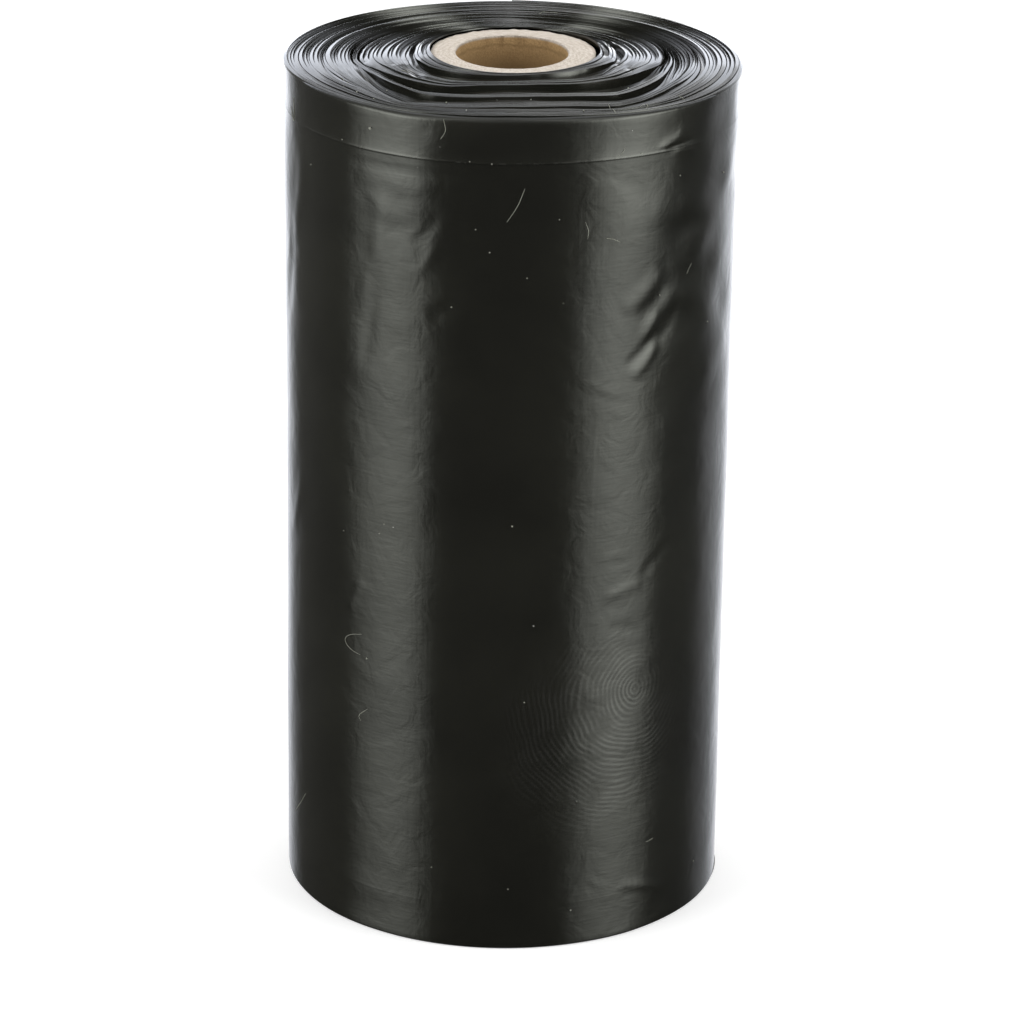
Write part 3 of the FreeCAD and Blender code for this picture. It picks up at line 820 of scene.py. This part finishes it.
# Fibres round the wall, through azimuths and heights, and on the upper end, through x and y.
WALL_FIBRES = [
    [(273.8, 57.4), (272.2, 56.1), (269.5, 55.0)],
    [(230.4, 21.4), (227.0, 21.5), (223.1, 22.2), (227.0, 22.9), (230.9, 23.0)],
    [(206.0, 8.1), (202.0, 6.8), (197.5, 5.7)],
    [(253.6, 62.0), (254.4, 61.2), (252.9, 60.6)],
    [(289.0, 54.8), (289.9, 54.2), (289.6, 53.6)],
    [(294.5, 53.5), (298.3, 53.1)],
    [(321.6, 50.4), (320.0, 49.7)],
    [(297.6, 59.3), (299.3, 59.8)],
    [(311.0, 6.9), (313.4, 7.0)],
    [(233.0, 17.4), (229.6, 16.7), (230.6, 16.3)],
    [(196.0, 59.8), (200.0, 58.6), (198.5, 60.6)],
]
END_FIBRES = [
    [(6.7, -12.2), (7.2, -13.9)],
    [(8.9, -12.4), (9.1, -11.6), (9.5, -12.1), (9.2, -12.7)],
    [(11.5, -9.5), (12.0, -10.2)],
    [(-7.7, -5.1), (-7.1, -5.7)],
    [(-6.9, -9.2), (-6.1, -9.6)],
    [(2.0, 12.3), (2.7, 13.2), (3.4, 12.5)],
    [(14.0, 5.4), (14.3, 4.4)],
    [(-11.9, -6.2), (-11.3, -7.6)],
]
# Crumbs on the wall, by azimuth, height and radius, and on the upper end, by x, y and radius.
WALL_CRUMBS = [
    (233.3, 60.6, 0.11), (210.3, 56.6, 0.05), (261.9, 54.4, 0.05), (265.4, 52.8, 0.06), (256.1, 48.7, 0.06),
    (274.6, 51.0, 0.05), (283.7, 49.1, 0.04), (310.8, 48.7, 0.06), (329.8, 45.5, 0.05), (316.1, 57.1, 0.06),
    (336.3, 56.0, 0.06), (282.4, 55.1, 0.05), (271.8, 32.8, 0.07), (232.7, 21.3, 0.08), (275.5, 19.4, 0.06),
    (223.9, 59.3, 0.05), (260.3, 59.2, 0.05), (265.7, 59.1, 0.05), (252.0, 6.1, 0.05), (272.0, 4.8, 0.05),
    (288.5, 2.8, 0.07), (332.0, 3.3, 0.05), (224.6, 30.5, 0.05), (238.0, 31.9, 0.05), (236.5, 31.1, 0.05),
]
END_CRUMBS = [
    (8.2, -6.4, 0.07), (-8.6, -8.0, 0.06), (-9.4, -11.6, 0.06), (-7.4, -12.6, 0.05), (-4.4, -12.3, 0.06),
    (-10.6, -9.9, 0.07), (-3.0, -14.2, 0.05), (9.0, -13.5, 0.05), (-6.5, -11.2, 0.05), (5.0, -13.8, 0.05),
    (-11.6, -8.6, 0.05), (1.4, -11.3, 0.05),
]


def film_surface(names):
    """The surface of the named pieces together, ready to be looked up from any point."""
    corners, faces = [], []
    for mesh in (bpy.data.objects[name].data for name in names):
        faces += [[len(corners) + corner for corner in polygon.vertices] for polygon in mesh.polygons]
        corners += [vertex.co for vertex in mesh.vertices]
    return BVHTree.FromPolygons(corners, faces)


def on_wall(place):
    """A ray towards the wall, at an azimuth in degrees and a height."""
    azimuth = math.radians(place[0])
    outwards = Vector((math.cos(azimuth), math.sin(azimuth), 0))
    return (outwards * (ROLL_RADIUS + 3) + Vector((0, 0, place[1]))) * MM, -outwards


def on_end(place):
    """A ray down on to the upper end, at x and y."""
    return Vector((place[0], place[1], ROLL_HEIGHT + 3)) * MM, Vector((0, 0, -1))


def lint_fibre(rng, surface, aim, places):
    """Rings of points, in millimetres, along a thread that follows the film through the places."""
    share = np.linspace(0, 1, FIBRE_STEPS)
    # The thread's places are joined by straight lines, bowed at random and then smoothed.
    knots = np.linspace(0, 1, len(places))
    bow = np.sin(share * math.pi)[:, None] * rng.normal(size=2) * 0.06
    path = np.stack([np.interp(share, knots, [place[axis] for place in places]) for axis in (0, 1)], -1)
    for _ in range(12):
        path[1:-1] = (path[:-2] + path[1:-1] + path[2:]) / 3
    middles, normals = [], []
    for place in path + bow:
        spot, normal, _, _ = surface.ray_cast(*aim(place))
        middles.append(np.array(spot) / MM + np.array(normal) * FIBRE_RADIUS * 0.7)
        normals.append(np.array(normal))
    middles = np.array(middles)
    along = np.gradient(middles, axis=0)
    sideways = np.cross(along, np.array(normals))
    sideways /= np.linalg.norm(sideways, axis=1)[:, None]
    upwards = np.cross(sideways, along)
    upwards /= np.linalg.norm(upwards, axis=1)[:, None]
    thin = FIBRE_RADIUS * (0.45 + 0.55 * np.sin(share * math.pi) ** 0.5)[:, None]
    return np.concatenate([middles + thin * (math.cos(turn) * upwards + math.sin(turn) * sideways)
                           for turn in np.radians((0, 72, 144, 216, 288))])


def lint_crumb(rng, surface, aim, place):
    """The corners of a rough lump, in millimetres, that lies on the film."""
    spot, normal, _, _ = surface.ray_cast(*aim(place))
    middle = np.array(spot) / MM + 0.4 * place[2] * np.array(normal)
    across = np.linspace(0, 2 * math.pi, 7)[:-1]
    corners = [(0.0, 0.0, 1.0)] + [(math.cos(a), math.sin(a), 0.35) for a in across]
    corners += [(math.cos(a), math.sin(a), -0.5) for a in across] + [(0.0, 0.0, -1.0)]
    return middle + 0.85 * place[2] * np.array(corners) * (0.75 + 0.5 * rng.random(size=(len(corners), 1)))


def make_lint_material():
    material, tree, shader = new_material("pale lint")
    place = use_group(tree, roll_places)
    motes = add_node(tree, "ShaderNodeTexNoise", {
        "Vector": place.outputs["Unrolled"], "Scale": 3.0, "Detail": 3.0})
    tone = blend_colours(tree, motes.outputs["Fac"], LINT_DARK, LINT_PALE)
    tree.links.new(tone, shader.inputs["Base Color"])
    shader.inputs["Roughness"].default_value = 0.85
    shader.inputs["Specular IOR Level"].default_value = 0.1
    return material


def build_lint():
    rng = np.random.default_rng(31)
    wall, end = film_surface(["outer_wrap"]), film_surface(["outer_wrap", "upper_turn_edges"])
    crumb_faces = [(0, 1 + a, 1 + (a + 1) % 6) for a in range(6)]
    crumb_faces += [(1 + a, 7 + a, 7 + (a + 1) % 6) for a in range(6)]
    crumb_faces += [(1 + a, 7 + (a + 1) % 6, 1 + (a + 1) % 6) for a in range(6)]
    crumb_faces += [(13, 7 + (a + 1) % 6, 7 + a) for a in range(6)]
    points, faces, laid = [], [], 0
    for surface, aim, fibres, crumbs in ((wall, on_wall, WALL_FIBRES, WALL_CRUMBS),
                                         (end, on_end, END_FIBRES, END_CRUMBS)):
        for places in fibres:
            points.append(lint_fibre(rng, surface, aim, places))
            rings = grid_faces(6, FIBRE_STEPS, closed=False) % (5 * FIBRE_STEPS)
            faces += (rings + laid).tolist()
            laid += len(points[-1])
        for place in crumbs:
            points.append(lint_crumb(rng, surface, aim, place))
            faces += [tuple(corner + laid for corner in face) for face in crumb_faces]
            laid += len(points[-1])
    add_piece("lint", np.concatenate(points), faces, make_lint_material())


build_lint()


# --- floor, lights and camera ---------------------------------------------------------------------
# A pale floor under soft light from two sides. What the film mirrors is a studio of two tall soft
# boxes, white paper behind the roll, and a dark room behind the camera.

FLOOR_SIZE = 3.0
FLOOR_GAP = 0.00002             # keeps the floor just clear of the roll
floor_mesh = bpy.data.meshes.new("floor")
floor_mesh.from_pydata([(x * FLOOR_SIZE, y * FLOOR_SIZE, 0) for x, y in ((-1, -1), (1, -1), (1, 1), (-1, 1))],
                       [], [(0, 1, 2, 3)])
floor = bpy.data.objects.new("floor", floor_mesh)
bpy.context.scene.collection.objects.link(floor)
floor.location.z = min(cad_box[0].z, 0) - FLOOR_GAP
floor.visible_glossy = False
floor_material, floor_tree, floor_shader = new_material("pale floor")
floor_mesh.materials.append(floor_material)
floor_shader.inputs["Base Color"].default_value = (0.86, 0.86, 0.86, 1)
floor_shader.inputs["Roughness"].default_value = 0.9
floor_shader.inputs["Specular IOR Level"].default_value = 0.0
floor_shader.inputs["Emission Color"].default_value = (1, 1, 1, 1)
seen = floor_tree.nodes.new("ShaderNodeLightPath").outputs["Is Camera Ray"]
floor_tree.links.new(calculate(floor_tree, "MULTIPLY", seen, 0.4), floor_shader.inputs["Emission Strength"])

# Where each lamp stands, how wide it is, and its power.
LAMPS = [((-0.55, -0.25, 0.55), 0.5, 2.6), ((0.55, -0.25, 0.55), 0.5, 2.6), ((0.0, 0.35, 0.8), 0.6, 2.0)]
for number, (spot, size, power) in enumerate(LAMPS):
    lamp_data = bpy.data.lights.new(f"lamp_{number}", "AREA")
    lamp_data.shape = "DISK"
    lamp_data.size = size
    lamp_data.energy = power
    lamp = bpy.data.objects.new(lamp_data.name, lamp_data)
    lamp.location = spot
    lamp.rotation_euler = (Vector(spot) - Vector((0, 0, 0.03))).to_track_quat("Z", "Y").to_euler()
    lamp.visible_glossy = False
    bpy.context.scene.collection.objects.link(lamp)

# What a mirror sees, by azimuth from the camera's side in degrees, and how bright it is before the
# factor that goes by height. That is about 2.5 from level to twenty degrees up, so the boxes reach
# seven times the level of white.
PAPER_FAR, PAPER_NEAR, PAPER_EDGE = (1.75, 1.80, 1.92), (0.80, 0.83, 0.87), (0.40, 0.41, 0.42)
LEFT_GAP, LEFT_DARK = (0.15, 0.15, 0.14), (0.10, 0.10, 0.09)
ROOM, RIGHT_GAP = (0.055, 0.055, 0.050), (0.10, 0.105, 0.105)
BOX_TINT = (0.97, 1.0, 0.91)
SIDE_PANEL = (2.8, 2.93, 3.22)
CEILING = (0.50, 0.51, 0.50)


def box_light(level):
    """The soft boxes' colour at a level."""
    return tuple(level * value for value in BOX_TINT)


STUDIO = [
    (-180, PAPER_FAR), (-163, PAPER_FAR), (-152, PAPER_NEAR), (-141, LEFT_GAP), (-120, LEFT_GAP),
    (-88, LEFT_DARK), (-82, box_light(0.7)), (-75, box_light(1.5)), (-62, box_light(2.35)),
    (-55, box_light(2.3)), (-48, box_light(1.75)), (-42, box_light(0.3)), (-39, ROOM), (33, ROOM),
    (38, box_light(0.5)), (46, box_light(1.9)), (57, box_light(2.78)), (64, box_light(2.62)),
    (74, box_light(1.84)), (81, box_light(0.65)), (86, RIGHT_GAP), (116, RIGHT_GAP), (127, PAPER_EDGE),
    (143, PAPER_NEAR), (160, PAPER_FAR), (180, PAPER_FAR),
]
STUDIO_PEAK = 2.7               # the ramp holds the studio's colours divided by this


def light_world():
    """A plain grey light for everything, and the studio for what the film mirrors."""
    world = bpy.data.worlds.new("studio")
    world.use_nodes = True
    bpy.context.scene.world = world
    tree = world.node_tree
    background = tree.nodes["Background"]
    direction = add_node(tree, "ShaderNodeSeparateXYZ", {
        0: tree.nodes.new("ShaderNodeTexCoord").outputs["Generated"]})
    upward = direction.outputs["Z"]
    azimuth = calculate(tree, "ARCTAN2", direction.outputs["X"],
                        calculate(tree, "MULTIPLY", direction.outputs["Y"], -1.0))
    turned = add_node(tree, "ShaderNodeMapRange", {"Value": azimuth, "From Min": -math.pi,
                                                   "From Max": math.pi}).outputs["Result"]
    ramp = add_node(tree, "ShaderNodeValToRGB", {"Fac": turned})
    stops = ramp.color_ramp.elements
    for number, (degrees, colour) in enumerate(STUDIO):
        place = (degrees + 180) / 360
        stop = stops.new(place) if number else stops[0]
        stop.position = place
        stop.color = (*(value / STUDIO_PEAK for value in colour), 1)
    stops.remove(stops[-1])
    aside = calculate(tree, "ABSOLUTE", azimuth)

    def beyond(start, end):
        return smooth_between(tree, aside, math.radians(start), math.radians(end))

    def above(start, end):
        return smooth_between(tree, upward, math.sin(math.radians(start)), math.sin(math.radians(end)))

    def product(first, *others):
        for other in others:
            first = calculate(tree, "MULTIPLY", first, other)
        return first

    def left_over(factor):
        return calculate(tree, "SUBTRACT", 1.0, factor)

    def scaled(colour, factor):
        grey = add_node(tree, "ShaderNodeCombineXYZ", {0: factor, 1: factor, 2: factor}).outputs[0]
        return combine_vectors(tree, "MULTIPLY", colour, grey)

    # Everything grows dim towards the floor and, more slowly, towards the ceiling.
    rising = above(22, 52)
    by_height = add_node(tree, "ShaderNodeMapRange", {
        "Value": upward, "From Min": -0.55, "From Max": -0.18, "To Min": 0.15, "To Max": 1.55})
    by_height = calculate(tree, "ADD", by_height.outputs["Result"], smooth_between(tree, upward, -0.20, 0.02))
    level = product(left_over(product(rising, 0.78)), STUDIO_PEAK, by_height)
    # A dark strip stands straight behind. It is narrow low down and broad higher up.
    narrow, broad = beyond(171.5, 178.8), beyond(155, 172)
    spreading = product(above(13, 23), calculate(tree, "SUBTRACT", broad, narrow))
    behind = calculate(tree, "ADD", narrow, spreading)
    darkness = calculate(tree, "ADD", 0.878, product(above(24, 4), 0.035))
    level = product(level, left_over(product(smooth_between(tree, upward, -0.20, -0.02), behind, darkness)))
    # Bright panels stand at both sides of the strip, from the floor up.
    panel = product(smooth_between(tree, upward, -0.03, 0.10), left_over(behind), beyond(108, 124),
                    left_over(rising))
    mirrored = blend_colours(tree, panel, scaled(ramp.outputs["Color"], level), SIDE_PANEL)
    mirrored = combine_vectors(tree, "ADD", mirrored, scaled(CEILING, above(24, 58)))
    path = tree.nodes.new("ShaderNodeLightPath")
    polished = calculate(tree, "MAXIMUM", path.outputs["Is Glossy Ray"], path.outputs["Is Transmission Ray"])
    ambient = blend_colours(tree, path.outputs["Is Camera Ray"], (0.38, 0.38, 0.38), (1.0, 1.0, 1.0))
    tree.links.new(blend_colours(tree, polished, ambient, mirrored), background.inputs["Color"])


light_world()

# The camera looks at the roll's front from about twenty degrees above.
CAMERA_DISTANCE = 330.65
CAMERA_RAISED = 19.878
CAMERA_TURNS = (("Y", -0.0877), ("X", -0.55), ("Z", 0.7557))    # in degrees, to place the roll in view
camera_data = bpy.data.cameras.new("camera")
camera_data.sensor_width = 36.0
camera_data.lens = 158.06
camera_data.clip_start = 0.01
camera = bpy.data.objects.new("camera", camera_data)
bpy.context.scene.collection.objects.link(camera)
raised = math.radians(CAMERA_RAISED)
stand = Vector((0, -CAMERA_DISTANCE * math.cos(raised), ROLL_HEIGHT / 2 + CAMERA_DISTANCE * math.sin(raised)))
placing = Matrix.Translation(stand * MM) @ Matrix.Rotation(math.pi / 2 - raised, 4, "X")
for axis, degrees in CAMERA_TURNS:
    placing = placing @ Matrix.Rotation(math.radians(degrees), 4, axis)
camera.matrix_world = placing
bpy.context.scene.camera = camera

bpy.context.scene.view_settings.view_transform = "Standard"
